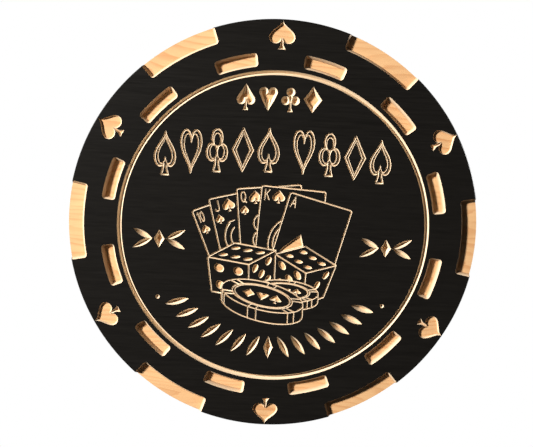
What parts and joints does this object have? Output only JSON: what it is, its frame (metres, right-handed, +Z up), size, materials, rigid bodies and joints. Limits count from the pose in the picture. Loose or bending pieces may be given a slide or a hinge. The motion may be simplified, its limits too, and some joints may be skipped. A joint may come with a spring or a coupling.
{
  "type": "carved poker chip wall sign",
  "caption": "Round wooden wall sign carved and painted as a poker chip, with a card, dice and chip emblem and D-ring hangers on its back.",
  "frame": {"origin": "the point on the wall's surface behind the middle of the round panel", "axes": "+Y into the wall, so the carved face looks along -Y; +Z up; +X to the right as seen from the front"},
  "size_m": [0.45, 0.0254, 0.45],
  "materials": {
    "painted_pine": "black satin paint on pine, with the bare pine left showing in the carving and on the back",
    "plated_steel": "nickel-plated steel",
    "screw_steel": "yellow zinc-plated steel",
    "rubber": "matte black rubber"
  },
  "bodies": {
    "root": {"board_1": "painted_pine", "board_2": "painted_pine", "board_3": "painted_pine", "board_4": "painted_pine", "board_5": "painted_pine", "board_6": "painted_pine", "hanger_strap_left": "plated_steel", "hanger_strap_right": "plated_steel", "hanger_screws_left": "screw_steel", "hanger_screws_right": "screw_steel", "bumper_1": "rubber", "bumper_2": "rubber", "bumper_3": "rubber", "bumper_4": "rubber"},
    "left_ring": {"hanger_ring_left": "plated_steel"},
    "right_ring": {"hanger_ring_right": "plated_steel"}
  },
  "joints": [
    {"name": "left_ring_hinge", "type": "hinge", "parent": "root", "child": "left_ring", "pos_m": [-0.11, -0.00342, 0.135], "axis": [1, 0, 0], "range_deg": [0, 180]},
    {"name": "right_ring_hinge", "type": "hinge", "parent": "root", "child": "right_ring", "pos_m": [0.11, -0.00342, 0.135], "axis": [1, 0, 0], "range_deg": [0, 180]}
  ]
}
